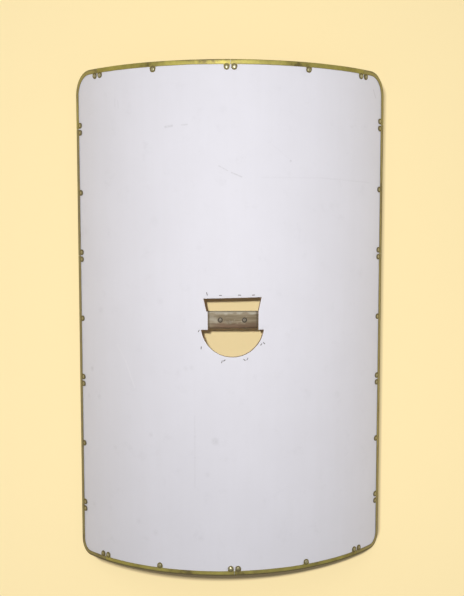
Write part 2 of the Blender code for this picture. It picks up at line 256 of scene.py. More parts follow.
def recipe(name, sizes, build):
    """A Geometry Nodes tree. Its named inputs are sizes, and build wires the shape."""
    tree = bpy.data.node_groups.new(name, "GeometryNodeTree")
    tree.interface.new_socket("Geometry", in_out="OUTPUT", socket_type="NodeSocketGeometry")
    kinds = {"Geometry": "Geometry", "Material": "Material", **sizes}
    for label, kind in kinds.items():
        tree.interface.new_socket(label, in_out="INPUT", socket_type=f"NodeSocket{kind}")
    bench = Bench(tree)
    inputs = tree.nodes.new("NodeGroupInput")
    wires = {label: Wire(bench, inputs.outputs[label]) for label in kinds}
    shape = build(bench, wires)
    shape = bench.node("GeometryNodeRealizeInstances", sockets={"Geometry": shape})
    shape = bench.node("GeometryNodeSetMaterial",
                       sockets={"Geometry": shape, "Material": wires["Material"]})
    outputs = tree.nodes.new("NodeGroupOutput")
    tree.links.new(shape.socket, outputs.inputs["Geometry"])
    return tree


def set_inputs(modifier, values):
    """Set a modifier's named inputs by their sockets' identifiers."""
    for item in modifier.node_group.interface.items_tree:
        if item.item_type == "SOCKET" and item.in_out == "INPUT" and item.name in values:
            modifier[item.identifier] = values[item.name]


CURVE_SIZES = {"Radius": "Float", "Axis height": "Float"}
CURVE_VALUES = {"Radius": FACE_RADIUS, "Axis height": AXIS_Z}


def add_object(name, data):
    """A new object in the scene."""
    obj = bpy.data.objects.new(name, data)
    bpy.context.scene.collection.objects.link(obj)
    return obj


def cut_out(obj, cutters):
    """Cut closed shapes out of an object."""
    for cutter in cutters:
        modifier = obj.modifiers.new("Cut", "BOOLEAN")
        modifier.operation = "DIFFERENCE"
        modifier.solver = "EXACT"
        modifier.object = cutter


def keep_result(obj):
    """Give an object the plain mesh that its modifiers make, in place of them."""
    graph = bpy.context.evaluated_depsgraph_get()
    mesh = bpy.data.meshes.new_from_object(obj.evaluated_get(graph))
    obj.modifiers.clear()
    obj.data = mesh


def make(name, start, tree, values, sharp, cutters=()):
    """Run a tree on a flat mesh, and keep the plain mesh that comes out.

    Edges that turn by more than sharp degrees stay crisp.
    """
    obj = add_object(name, start)
    cut_out(obj, cutters)
    modifier = obj.modifiers.new(tree.name, "NODES")
    modifier.node_group = tree
    set_inputs(modifier, {**CURVE_VALUES, **values})
    keep_result(obj)
    obj.data.name = name
    close_up(obj.data)
    obj.data.shade_smooth()
    obj.data.set_sharp_from_angle(angle=math.radians(sharp))
    return obj


def close_up(mesh):
    """Merge doubled points, and turn the faces of every closed shell outwards."""
    bm = bmesh.new()
    bm.from_mesh(mesh)
    bmesh.ops.remove_doubles(bm, verts=bm.verts[:], dist=1e-6)
    bmesh.ops.recalc_face_normals(bm, faces=bm.faces[:])
    bm.to_mesh(mesh)
    bm.free()


def mesh_from(bm, name):
    """The mesh of a closed shape, with its faces outwards."""
    bmesh.ops.recalc_face_normals(bm, faces=bm.faces[:])
    mesh = bpy.data.meshes.new(name)
    bm.to_mesh(mesh)
    bm.free()
    return mesh


def rolled(bench, shape, sizes):
    """Roll a flat shape onto the curve of the face."""
    s, y, h = bench.node("GeometryNodeInputPosition").parts()
    angle = s / sizes["Radius"]
    reach = h + sizes["Radius"]
    place = bench.vector(angle.sum("SINE") * reach, y,
                         angle.sum("COSINE") * reach + sizes["Axis height"])
    return bench.node("GeometryNodeSetPosition", sockets={"Geometry": shape, "Position": place})


def flat_s(x, h=0.0):
    """Distance round the curve of a point this far across, and this high above the face."""
    return FACE_RADIUS * math.asin(x / (FACE_RADIUS + h))


def plain_mesh(name, points, edges=(), faces=(), **attributes):
    """A mesh from lists, with a number or a vector at each point for every attribute."""
    mesh = bpy.data.meshes.new(name)
    mesh.from_pydata([tuple(point) for point in points], edges, faces)
    for label, values in attributes.items():
        flat = np.array(values, float)
        kind, field = ("FLOAT", "value") if flat.ndim == 1 else ("FLOAT_VECTOR", "vector")
        layer = mesh.attributes.new(label, kind, "POINT")
        layer.data.foreach_set(field, flat.ravel())
    return mesh


def attribute(bench, name, kind="FLOAT"):
    """What every point of a flat piece carries under this name."""
    return bench.node("GeometryNodeInputNamedAttribute", {"data_type": kind}, {"Name": name})


# ------------------------------------------------------------------ materials

def material(name, build):
    """A Principled material. build wires it and returns the values of its sockets."""
    made = bpy.data.materials.new(name)
    made.use_nodes = True
    bench = Bench(made.node_tree)
    shader = made.node_tree.nodes["Principled BSDF"]
    for key, value in build(bench).items():
        if isinstance(value, Wire):
            made.node_tree.links.new(value.socket, shader.inputs[key])
        else:
            shader.inputs[key].default_value = value
    return made


def object_place(bench):
    """The place on the object, in metres."""
    return bench.node("ShaderNodeTexCoord", out="Object")


def flat_places(bench):
    """s, y and h of the place on the object."""
    x, y, z = object_place(bench).parts()
    above = z - AXIS_Z
    s = x.sum("ARCTAN2", above) * FACE_RADIUS
    h = (x * x + above * above).sum("SQRT") - FACE_RADIUS
    return s, y, h


def tagged(bench, *names):
    """Numbers that a piece carries at each of its points."""
    return [bench.node("ShaderNodeAttribute", {"attribute_name": name}, out="Fac")
            for name in names]


def bump(bench, height, strength):
    """A Normal for relief of this height, in metres."""
    return bench.node("ShaderNodeBump", sockets={
        "Strength": strength, "Distance": 1.0, "Height": height}, out="Normal")


def stroke(bench, where, start, end, width, soft):
    """A mask along a straight mark on the face."""
    start, end = Vector((*start, 0)), Vector((*end, 0))
    run = end - start
    offset = where - start
    share = offset.sum("DOT_PRODUCT", run) / run.length_squared
    share = share.most(0.0).sum("MINIMUM", 1.0)
    away = (offset - bench.vector(share * run.x, share * run.y)).sum("LENGTH")
    return 1 - away.step(width - soft, width + soft)


# Marks on the white face, in metres from its middle: start, end, half width, softness, depth
SCRATCHES = (
    ((-0.134, 0.390), (-0.120, 0.392), 0.0016, 0.0022, 0.22),
    ((-0.100, 0.393), (-0.089, 0.394), 0.0010, 0.0018, 0.19),
    ((-0.026, 0.312), (-0.009, 0.303), 0.0006, 0.0014, 0.24),
    ((-0.001, 0.299), (0.019, 0.291), 0.0008, 0.0015, 0.27),
    ((0.080, 0.355), (0.115, 0.328), 0.0006, 0.0016, 0.05),
    ((0.060, 0.290), (0.191, 0.291), 0.0008, 0.0020, 0.06),
    ((0.191, 0.291), (0.323, 0.286), 0.0009, 0.0022, 0.08),
    ((-0.251, 0.455), (-0.251, 0.437), 0.0008, 0.0018, 0.10),
    ((-0.244, 0.449), (-0.242, 0.434), 0.0008, 0.0018, 0.08),
    ((0.335, 0.481), (0.344, 0.466), 0.0010, 0.0020, 0.20),
    ((-0.076, -0.190), (-0.076, -0.338), 0.0008, 0.0018, 0.08),
)
RUBS = (
    ((-0.252, -0.052), (-0.230, -0.085), 0.0007, 0.0020, 0.30),
    ((-0.230, -0.085), (-0.208, -0.139), 0.0009, 0.0022, 0.40),
)
# Spots: middle, radius, softness, depth
SPOTS = (
    ((0.119, 0.323), 0.0016, 0.0018, 0.22), ((0.148, 0.498), 0.0050, 0.0080, 0.05),
    ((-0.018, 0.423), 0.0040, 0.0080, 0.04), ((-0.298, 0.018), 0.0040, 0.0070, 0.07),
    ((-0.328, -0.110), 0.0032, 0.0055, 0.13), ((-0.341, -0.170), 0.0026, 0.0050, 0.09),
    ((-0.306, -0.168), 0.0030, 0.0050, 0.08), ((-0.171, -0.234), 0.0030, 0.0045, 0.08),
    ((-0.034, -0.241), 0.0048, 0.0065, 0.13), ((-0.050, -0.310), 0.0032, 0.0060, 0.07),
    ((-0.260, -0.272), 0.0030, 0.0055, 0.06), ((-0.076, -0.232), 0.0014, 0.0022, 0.12),
    ((-0.076, -0.276), 0.0014, 0.0022, 0.10), ((-0.201, -0.421), 0.0034, 0.0060, 0.07),
    ((-0.162, -0.440), 0.0034, 0.0065, 0.07), ((-0.064, -0.443), 0.0034, 0.0060, 0.06),
    ((-0.147, 0.041), 0.0042, 0.0075, 0.05), ((-0.160, 0.204), 0.0050, 0.0090, 0.04),
    ((-0.094, -0.093), 0.0030, 0.0055, 0.06), ((-0.082, -0.091), 0.0026, 0.0050, 0.06),
    ((0.215, 0.235), 0.0040, 0.0080, 0.04), ((-0.327, -0.408), 0.0034, 0.0070, 0.06),
)


def stain(marked, centre, radius, soft):
    """A mask over one round spot on the face."""
    return 1 - marked.sum("DISTANCE", (*centre, 0.0)).step(radius - soft / 2, radius + soft)


# Colours of the finishes. Two together are the ends of one range
WHITES = ((0.640, 0.632, 0.684), (0.658, 0.650, 0.704))
WHITE_STREAK = (0.632, 0.623, 0.668)
SCRATCH_GREY = (0.10, 0.09, 0.09)
RUBBED_WHITE = (0.74, 0.73, 0.77)
SAWN_PLIES = ((0.52, 0.36, 0.20), (0.36, 0.22, 0.11))
PLY_GLUE = (0.16, 0.09, 0.05)
SAW_BURN = (0.22, 0.14, 0.08)
BARE_RINGS = ((0.55, 0.37, 0.20), (0.44, 0.27, 0.135))
BARE_FIBRE = (0.33, 0.19, 0.09)
BARE_CLOUD = (0.36, 0.23, 0.12)
BRASS_PATINA = (
    (0.35, (0.23, 0.185, 0.055)),
    (0.45, (0.48, 0.41, 0.095)),
    (0.60, (0.68, 0.60, 0.130)),
    (0.75, (0.46, 0.39, 0.115)),
)
BRASS_TONE = (0.78, 0.78, 0.82)
BRASS_TARNISH_AND_SHADE = (0.235, 0.195, 0.110)
BRASS_GRIME_AND_SHADE = (0.115, 0.090, 0.040)
NAIL_WEAR = ((0.54, 0.49, 0.26), (0.68, 0.64, 0.43))
NAIL_TARNISH_AND_SHADE = (0.270, 0.225, 0.095)
NAIL_GRIME_AND_SHADE = (0.13, 0.11, 0.055)
BROWN_GRAIN = ((0.165, 0.128, 0.078), (0.295, 0.243, 0.165))
RED_GRAIN = ((0.100, 0.056, 0.034), (0.190, 0.118, 0.074))
WOOD_DULL = (0.130, 0.095, 0.055)
WOOD_WEAR_AND_HIGHLIGHT = (0.45, 0.42, 0.345)
WOOD_STAIN = (0.085, 0.055, 0.032)
WOOD_PORE = (0.055, 0.035, 0.020)
WOOD_SHADED_END = (0.070, 0.058, 0.038)
WOOD_SCREW_SHADE = (0.045, 0.032, 0.020)
STEEL = (0.17, 0.165, 0.16)
STEEL_RUST = (0.09, 0.052, 0.030)
STEEL_HEAD = (0.23, 0.20, 0.15)
STEEL_RIM_SHADE = (0.060, 0.050, 0.040)


def marked_white(bench, s, y, cloud):
    """The white of the front, with its scratches, its spots and its pale rubs."""
    where = bench.vector(s, y)
    wander = bench.noise(where, 60.0, 2.0) * 0.002
    marked = bench.vector(s + wander, y - wander)
    streak = bench.noise(bench.vector(s * 45.0, y * 3.0), 1.0, 3.0, 0.6)
    white = bench.mix(cloud.step(0.3, 0.7), *WHITES)
    white = bench.mix(streak.step(0.35, 0.75) * 0.35, white, WHITE_STREAK)
    marks = bench.noise(where, 24.0, 5.0, 0.65).step(0.55, 0.85) * 0.10
    for *line, depth in SCRATCHES:
        marks = marks.most(stroke(bench, marked, *line) * depth)
    for *spot, depth in SPOTS:
        marks = marks.most(stain(marked, *spot) * depth)
    broken = bench.noise(where, 210.0, 3.0, 0.6).step(0.28, 0.55) * 0.65 + 0.35
    white = bench.mix(marks * broken, white, SCRATCH_GREY)
    for *line, depth in RUBS:
        white = bench.mix(stroke(bench, marked, *line) * depth, white, RUBBED_WHITE)
    return white


def sawn_plies(bench, h, saw):
    """The plies at the sawn edge, with dark lines of glue between them."""
    ply = -h / BOARD * PLIES
    layer = ply.sum("FRACT").step(0.05, 0.12)
    cross = (ply * 0.5).sum("FRACT").step(0.48, 0.52)
    sawn = bench.mix(layer, PLY_GLUE, bench.mix(cross, *SAWN_PLIES))
    return bench.mix(saw.step(0.35, 0.8) * 0.5, sawn, SAW_BURN)


def bare_plywood(bench, s, y, fibre, cloud):
    """Bare wood behind, with the broad rings of a peeled ply."""
    bow = bench.noise(bench.vector(s * 5.0, y * 0.9), 1.0, 3.0, 0.45)
    ring = (bow * 26.0).sum("FRACT")
    bare = bench.mix(ring.step(0.1, 0.9), *BARE_RINGS)
    bare = bench.mix(fibre.step(0.4, 0.8) * 0.45, bare, BARE_FIBRE)
    return bench.mix(cloud.step(0.35, 0.8) * 0.3, bare, BARE_CLOUD)


def white_facing(bench):
    """White facing on the front, sawn plies at the edges, and bare plywood behind."""
    s, y, h = flat_places(bench)
    where = bench.vector(s, y)
    cloud = bench.noise(where, 7.0, 4.0, 0.6)
    saw = bench.noise(bench.vector(s * 400.0, y * 400.0, h * 60.0), 1.0, 2.0)
    fibre = bench.noise(bench.vector(s * 900.0, y * 14.0), 1.0, 3.0, 0.6)
    blend = 0.2 * MM
    is_edge = 1 - h.step(-SKIN - blend, -SKIN)
    is_back = 1 - h.step(SKIN - BOARD - blend, SKIN - BOARD)
    colour = bench.mix(is_edge, marked_white(bench, s, y, cloud), sawn_plies(bench, h, saw))
    colour = bench.mix(is_back, colour, bare_plywood(bench, s, y, fibre, cloud))
    peel = bench.noise(where, 420.0, 3.0, 0.55) * (1 - is_edge)
    tooth = (fibre * is_back) + (saw * is_edge * (1 - is_back))
    rough = 0.62 + cloud * 0.10 + is_edge * 0.12
    return {"Base Color": colour, "Roughness": rough, "Specular IOR Level": 0.22,
            "Normal": bump(bench, peel * 0.00003 + tooth * 0.00012, 0.6)}


def edging_brass(bench):
    """Old brass. Fine lines follow the fold; grime and painted shade lie by its lip and in its
    fold, painted shade round the nails.
    """
    place = object_place(bench)
    along, across, beside, inset, tone, tarnish, painted_fold_shadow = tagged(
        bench, "along", "across", "beside", "inset", "tone", "tarnish", "painted_fold_shadow")
    patina = bench.noise(place, 26.0, 5.0, 0.62)
    spots = bench.noise(place, 320.0, 3.0, 0.6)
    lines = bench.noise(bench.vector(along * 26.0, across * 22.0), 1.0, 4.0, 0.7)
    metal = bench.ramp(patina, BRASS_PATINA)
    metal = bench.mix(tone, bench.mix(1.0, metal, BRASS_TONE, "MULTIPLY"), metal)
    # Tarnish by stretch, partly painted shade: darker towards the foot and the corners.
    aged_and_shaded = tarnish * (0.70 + patina.step(0.35, 0.65) * 0.30)
    metal = bench.mix(aged_and_shaded, metal, BRASS_TARNISH_AND_SHADE)
    # Darker by the lip: grime and painted shade where the sheet meets the face.
    lip = across.step(0.80, 1.0) * (1 - inset.step(LEG, LEG + 2 * MM))
    # Darker in the fold: grime and painted shade.
    fold = 1 - across.step(0.02, 0.34)
    # A ring of painted shade round each nail's tab.
    from_nail = bench.vector(beside, inset - NAIL_INSET).sum("LENGTH")
    painted_ring_shade = from_nail.step(3.0 * MM, 3.7 * MM) * (1 - from_nail.step(6.0 * MM, 7.6 * MM))
    dull_and_shade = spots.step(0.58, 0.78) * 0.4
    for grime_and_shade in (lip * patina.step(0.30, 0.55) * 0.6,
                  fold * (1 - patina.step(0.35, 0.70)) * 0.7,
                  painted_ring_shade * 0.8,
                  # Painted shadow along the outer fold, strongest at the right side and the
                  # foot.
                  (1 - across.step(0.16, 0.52)) * painted_fold_shadow):
        dull_and_shade = dull_and_shade.most(grime_and_shade)
    metal = bench.mix(dull_and_shade, metal, BRASS_GRIME_AND_SHADE)
    rough = 0.32 + patina * 0.16 + dull_and_shade * 0.25 + lines * 0.08
    return {"Base Color": metal, "Metallic": 0.64 - dull_and_shade * 0.35 - aged_and_shaded * 0.25,
            "Roughness": rough + aged_and_shaded * 0.12,
            "Normal": bump(bench, lines * 0.00005 + spots * 0.00003, 0.7)}


def nail_brass(bench):
    """Nail heads: paler brass than the edging, with painted shade round the rim that leaves the
    top of the dome brighter.
    """
    place = object_place(bench)
    rim, tarnish = tagged(bench, "rim", "tarnish")
    spots = bench.noise(place, 300.0, 3.0, 0.6)
    wear = bench.noise(place, 45.0, 2.0)
    metal = bench.mix(wear.step(0.3, 0.7), *NAIL_WEAR)
    # The stretch's tarnish, partly painted shade towards the foot and the corners.
    metal = bench.mix(tarnish * 0.6, metal, NAIL_TARNISH_AND_SHADE)
    # Dull spots, and painted shade round the rim of each head.
    dull_and_shade = (spots.step(0.52, 0.72) * 0.4).most(rim.step(0.62, 0.86) * 0.62)
    metal = bench.mix(dull_and_shade, metal, NAIL_GRIME_AND_SHADE)
    return {"Base Color": metal, "Metallic": 0.7 - dull_and_shade * 0.3, "Roughness": 0.36 + dull_and_shade * 0.3,
            "Normal": bump(bench, spots * 0.00005, 0.7)}


# One long scuff on the grip: start, end, half width, softness
GRIP_SCUFF = ((-0.048, 0.008), (-0.033, 0.006), 0.004, 0.006)


def grip_wood(bench):
    """Worn wood: pale along its top edge, partly bare wood and partly a painted highlight, brown
    below with a redder foot, and scuffed.

    The painted shade at its ends beside the opening and the painted shade rings round the screws
    are on its front only.
    """
    s, y, h = flat_places(bench)
    place = bench.vector(s, y, h)
    grain = bench.noise(bench.vector(s * 14.0, y * 190.0, h * 190.0), 1.0, 4.0, 0.65, 0.8)
    pores = bench.noise(bench.vector(s * 60.0, y * 1400.0, h * 1400.0), 1.0, 2.0)
    blotch = bench.noise(place, 85.0, 4.0, 0.62)
    stained = bench.noise(place, 48.0, 3.0, 0.55)
    edge_y = y + (blotch - 0.5) * 0.012 + (stained - 0.5) * 0.010
    wood, red = [bench.mix(grain.step(0.30, 0.70), *ends) for ends in (BROWN_GRAIN, RED_GRAIN)]
    wood = bench.mix((1 - edge_y.step(-0.004, 0.004)) * s.step(-0.060, -0.020) * 0.85, wood, red)
    wood = bench.mix(s.step(0.010, 0.050) * 0.35, wood, WOOD_DULL)
    # Pale along the top edge: bare wood and a painted highlight; the scuff and blotches are
    # wear.
    wear_and_highlight = edge_y.step(0.0155, 0.0215) * 0.85
    wear_and_highlight = wear_and_highlight.most(stroke(bench, bench.vector(s, edge_y), *GRIP_SCUFF) * 0.6)
    wear_and_highlight = wear_and_highlight.most(blotch.step(0.56, 0.76) * 0.55)
    front = h.step(-16 * MM, -12 * MM)
    # Painted shade where the board's edges beside the opening shadow the grip.
    painted_end_shade = (-s + WAIST_LEFT).step(-4.5 * MM, -1 * MM).most(
        (s - WAIST_RIGHT).step(-5 * MM, -1.5 * MM))
    # A ring of painted shade round each screw's countersink.
    to_screw = bench.vector(s.sum("ABSOLUTE") - SCREW_S, y - SCREW_Y).sum("LENGTH")
    painted_ring_shade = 1 - to_screw.step(4.6 * MM, 6.2 * MM)
    for share, colour in ((wear_and_highlight, WOOD_WEAR_AND_HIGHLIGHT),
                          (stained.step(0.56, 0.74) * 0.5, WOOD_STAIN),
                          (pores.step(0.60, 0.80) * 0.4, WOOD_PORE),
                          (painted_end_shade * front * 0.6, WOOD_SHADED_END),
                          (painted_ring_shade * front * 0.6, WOOD_SCREW_SHADE)):
        wood = bench.mix(share, wood, colour)
    return {"Base Color": wood, "Roughness": 0.62 + blotch * 0.25, "Specular IOR Level": 0.3,
            "Normal": bump(bench, grain * 0.0002 + pores * 0.00008, 0.8)}


def steel(bench):
    """Dull steel, browner in patches. Screws carry a rim number, and painted shade darkens them
    round the rim.
    """
    place = object_place(bench)
    rim, = tagged(bench, "rim")
    rust = bench.noise(place, 260.0, 4.0, 0.6).step(0.44, 0.66)
    lines = bench.noise(place * (1800.0, 300.0, 300.0), 1.0, 2.0)
    colour = bench.mix(rust * 0.7, STEEL, STEEL_RUST)
    colour = bench.mix(rim.step(0.01, 0.05), colour, STEEL_HEAD)
    # Painted shade round the rim of each screw head.
    colour = bench.mix(rim.step(0.52, 0.78), colour, STEEL_RIM_SHADE)
    return {"Base Color": colour, "Metallic": 0.7 - rust * 0.5, "Roughness": 0.55 + rust * 0.3,
            "Normal": bump(bench, lines * 0.00004, 0.6)}


def make_materials():
    """Every finish of the shield, by its name."""
    return {build.__name__: material(build.__name__, build)
            for build in (white_facing, edging_brass, nail_brass, grip_wood, steel)}


# ------------------------------------------------------------------ the board

def skewed(point):
    """Move a point as the foot is out of square, if it is at that end."""
    s, y = point
    return Vector((s, y + FOOT_SKEW * s / HALF_ARC * (y < 0)))


def quarter(steps):
    """Cosine and sine at even steps through a quarter turn."""
    angles = [math.pi / 2 * step / steps for step in range(steps + 1)]
    return [(math.cos(angle), math.sin(angle)) for angle in angles]


def corner(side, up, steps):
    """Rim points and inward directions round a corner, from the side to the end."""
    radius = HEAD_CORNER if up > 0 else FOOT_CORNER
    centre = Vector((side * (HALF_ARC - radius), up * (HALF_HEIGHT - radius)))
    outwards = [Vector((side * cosine, up * sine)) for cosine, sine in quarter(steps)]
    return [(skewed(centre + radius * outward), -outward) for outward in outwards]


def board_outline():
    """The board's edge, inside the fold of the brass."""
    inset = SHEET + 2 * GAP
    outline = []
    for side, up, order in ((1, 1, 1), (-1, 1, -1), (-1, -1, 1), (1, -1, -1)):
        stations = corner(side, up, steps=14)[::order]
        outline += [point + inward * inset for point, inward in stations]
    return outline


def opening_outline():
    """The hand opening: a slot above the grip, and a D below it."""
    rise = SLOT_TOP_RISE / 2
    outline = [
        Vector((WAIST_RIGHT, WAIST_BOTTOM_Y)),
        Vector((SLOT_FOOT_HALF, WAIST_TOP_Y)),
        Vector((SLOT_TOP_HALF, SLOT_TOP_Y + rise)),
        Vector((-SLOT_TOP_HALF, SLOT_TOP_Y - rise)),
        Vector((-SLOT_FOOT_HALF, WAIST_TOP_Y)),
        Vector((WAIST_LEFT, WAIST_TOP_Y)),
        Vector((WAIST_LEFT, WAIST_BOTTOM_Y)),
    ]
    start = math.asin((WAIST_BOTTOM_Y - D_CENTRE_Y) / D_RADIUS)
    for step in range(49):
        angle = math.pi - start + (math.pi + 2 * start) * step / 48
        outline.append(Vector((D_RADIUS * math.cos(angle),
                               D_CENTRE_Y + D_RADIUS * math.sin(angle))))
    return outline


def divided(loop, spacing):
    """A closed loop with points added, so that none are further apart than the spacing."""
    points = []
    for start, end in zip(loop, loop[1:] + loop[:1]):
        count = max(1, math.ceil((end - start).length / spacing))
        points += [start.lerp(end, index / count) for index in range(count)]
    return points


def hand_sawn(loop, amount):
    """A loop with the wander of a hand saw in it."""
    return [point + amount * Vector((noise.noise(Vector((*point, 0)) * 260),
                                     noise.noise(Vector((*point, 5)) * 260)))
            for point in loop]


def grown(loop, distance):
    """A closed anticlockwise loop with every side moved outwards by a distance."""
    moved = []
    for before, here, after in zip(loop[-1:] + loop[:-1], loop, loop[1:] + loop[:1]):
        first = (here - before).normalized()
        second = (after - here).normalized()
        normals = Vector((first.y, -first.x)), Vector((second.y, -second.x))
        middle = normals[0] + normals[1]
        moved.append(here + middle * distance / (1 + normals[0].dot(normals[1])))
    return moved


def anticlockwise(loop):
    """A closed loop, turned round if it runs clockwise."""
    area = sum(a.x * b.y - b.x * a.y for a, b in zip(loop, loop[1:] + loop[:1]))
    return loop if area > 0 else loop[::-1]


def inside(points, loop):
    """Which of an array of points lie inside a closed loop, by counting crossed sides."""
    loop = np.array([tuple(point) for point in loop])
    crossed = np.zeros(len(points), bool)
    for (s0, y0), (s1, y1) in zip(loop, np.roll(loop, -1, axis=0)):
        if y0 == y1:
            continue
        spans = (y0 > points[:, 1]) != (y1 > points[:, 1])
        crossed ^= spans & (points[:, 0] < s0 + (s1 - s0) * (points[:, 1] - y0) / (y1 - y0))
    return crossed


def sheet_of(loops, spacing):
    """Triangles that fill the first loop, less the second, over a grid of points.

    Returns the points, the triangles, and for each loop the numbers of its points.
    """
    across = np.arange(-HALF_ARC, HALF_ARC, spacing[0]) + spacing[0] / 2
    up = np.arange(-HALF_HEIGHT, HALF_HEIGHT, spacing[1]) + spacing[1] / 2
    grid = np.stack(np.meshgrid(across, up), -1).reshape(-1, 2)
    margin = 0.3 * spacing[0]
    keep = inside(grid, grown(loops[0], -margin)) & ~inside(grid, grown(loops[1], margin))
    places = []
    edges = []
    for loop in loops:
        first = len(places)
        places += [tuple(point) for point in loop]
        edges += [(first + i, first + (i + 1) % len(loop)) for i in range(len(loop))]
    places += [tuple(point) for point in grid[keep]]
    all_triangles, same_point = 0, 1e-7
    points, _, triangles, origins, _, _ = delaunay_2d_cdt(
        [Vector(place) for place in places], edges, [], all_triangles, same_point)
    corners = np.array([tuple(point) for point in points])[np.array(triangles)]
    middles = corners.mean(axis=1)
    wanted = inside(middles, loops[0]) & ~inside(middles, loops[1])
    now = {}
    for index, sources in enumerate(origins):
        for source in sources:
            now[source] = index
    numbers = []
    first = 0
    for loop in loops:
        numbers.append([now[first + i] for i in range(len(loop))])
        first += len(loop)
    return points, [t for t, ok in zip(triangles, wanted) if ok], numbers


# How the sawn edges are eased: how far in, and how high, from the face down
EASE = ((0.55 * MM, 0.0), (0.30 * MM, -0.06 * MM), (0.10 * MM, -0.22 * MM), (0.0, -0.55 * MM))


def board_mesh():
    """The flat board: two close-meshed faces, and rounded sawn edges between them."""
    outline = anticlockwise(divided(board_outline(), OUTLINE_STEP))
    opening = anticlockwise(hand_sawn(divided(opening_outline(), OPENING_STEP), SAW_WANDER))
    rings = EASE + tuple((inset, -BOARD - h) for inset, h in EASE[::-1])
    bm = bmesh.new()
    loops = [[[(*point, h) for point in grown(loop, sign * inset)] for inset, h in rings]
             for loop, sign in ((outline, -1), (opening, 1))]
    rims = []
    for number, grid in ((0, FRONT_GRID), (-1, BACK_GRID)):
        flat = [[Vector(point[:2]) for point in ring[number]] for ring in loops]
        points, triangles, numbers = sheet_of(flat, grid)
        verts = [bm.verts.new((*point, rings[number][1])) for point in points]
        for triangle in triangles:
            bm.faces.new([verts[index] for index in triangle])
        rims.append([[verts[index] for index in loop] for loop in numbers])
    for front, back, loop in zip(*rims, loops):
        rows = [[bm.verts.new(point) for point in ring] for ring in loop[1:-1]]
        join(bm, [front, *rows, back])
    loose = [vert for vert in bm.verts if not vert.link_faces]
    bmesh.ops.delete(bm, geom=loose, context="VERTS")
    return mesh_from(bm, "board_flat")


def join(bm, rows):
    """Quads between closed rows of points, from each row to the next."""
    for here, after in zip(rows, rows[1:]):
        for index, point in enumerate(here):
            nxt = (index + 1) % len(here)
            bm.faces.new((point, here[nxt], after[nxt], after[index]))


def tube(bm, rows, name):
    """The mesh of a closed tube: quads between its rows, and a face at each end."""
    join(bm, rows)
    bm.faces.new(rows[0])
    bm.faces.new(rows[-1])
    return mesh_from(bm, name)


def board_recipe(bench, sizes):
    """Roll the board, with the slight unevenness of a bent board."""
    place = bench.node("GeometryNodeInputPosition")
    s, y, _ = place.parts()
    swell = bench.noise(bench.vector(s * 7.0, y * 3.5, sizes["Seed"]), 1.0, 1.0) - 0.5
    lifted = bench.node("GeometryNodeSetPosition", sockets={
        "Geometry": sizes["Geometry"],
        "Offset": bench.vector(0.0, 0.0, swell * sizes["Unevenness"])})
    return rolled(bench, lifted, sizes)


def make_board(materials):
    """The board, in one piece."""
    tree = recipe("Bend the board", {**CURVE_SIZES, "Unevenness": "Float", "Seed": "Float"},
                  board_recipe)
    board = make("facing_board", board_mesh(), tree, {
        "Material": materials["white_facing"], "Unevenness": UNEVENNESS, "Seed": BOARD_SEED},
        sharp=45)
    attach(board, "root")
    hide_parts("board")


# ------------------------------------------------------------------ the edging

def side_path(side, low, high):
    """Rim points and inward directions along a long side."""
    return [(Vector((side * HALF_ARC, y)), Vector((-side, 0))) for y in (low, high)]


def end_path(up, start, end):
    """Rim points and inward directions along the head or the foot."""
    return [(skewed((s, up * HALF_HEIGHT)), Vector((0, -up))) for s in (start, end)]


def rim_sections():
    """Name and path along the rim of every section of edging, from the frame's own boxes."""
    proud = GAP + SHEET
    sections = {}
    for side, side_name in ((-1, "left"), (1, "right")):
        for place in ("lower", "middle", "upper"):
            name = f"edging_{side_name}_{place}"
            low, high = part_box(name)
            sections[name] = side_path(side, low.y, high.y)
        for up, end_name in ((-1, "foot"), (1, "head")):
            name = f"edging_{end_name}_{side_name}"
            ends = [box.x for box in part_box(name)][::side]
            near, far = flat_s(ends[0]), flat_s(ends[1], proud)
            sections[name] = end_path(up, near, far)
            name = f"edging_corner_{end_name}_{side_name}"
            low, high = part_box(name)
            path = side_path(side, low.y if up > 0 else high.y, 0)[:1]
            path += corner(side, up, steps=28)
            path.append(end_path(up, far + side * JOINT_GAP, 0)[0])
            sections[name] = path
    return {name: clockwise(path) for name, path in sections.items()}


def clockwise(path):
    """The path in the direction that has the shield on its right."""
    run = path[-1][0] - path[0][0]
    inward = path[0][1] + path[-1][1]
    return path if run.x * inward.y - run.y * inward.x < 0 else path[::-1]


def nails_of(section):
    """Flat places of the nails through one section's tabs."""
    stem = section.replace("edging_", "nail_") + "_"
    places = []
    for node in sorted(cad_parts):
        if node.startswith(stem) and node[len(stem):].isdigit():
            low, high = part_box(node)
            middle = (low + high) / 2
            around = math.atan2(middle.x, middle.z - AXIS_Z)
            places.append(Vector((around * FACE_RADIUS, middle.y)))
    return places


# How tarnished the brass is on each stretch of the rim, partly painted shade towards the foot
# and the corners, and how dark a painted shadow lies along its outer fold, from 0 to 1
STRETCH_AGEING_AND_SHADE = {"head": (0.18, 0.10), "foot": (0.30, 0.95), "corner_head": (0.62, 0.45),
           "corner_foot": (0.80, 1.0), "right": (0.70, 0.95), "left": (0.95, 0.3)}


def stretch_ageing_and_shade(section):
    """The tarnish, partly painted shade, and the painted shadow on the fold of a section."""
    place = section.removeprefix("edging_")
    return next(STRETCH_AGEING_AND_SHADE[stretch] for stretch in STRETCH_AGEING_AND_SHADE if place.startswith(stretch))


def tab_reach(offset):
    """How far in from the rim the sheet's edge is, this far along from a nail."""
    offset = abs(offset)
    if offset < TAB_RADIUS:
        return NAIL_INSET + math.sqrt(TAB_RADIUS ** 2 - offset ** 2)
    away = TAB_RADIUS + TAB_FILLET - offset
    if away > 0:
        return LEG + TAB_FILLET - math.sqrt(TAB_FILLET ** 2 - away ** 2)
    return LEG


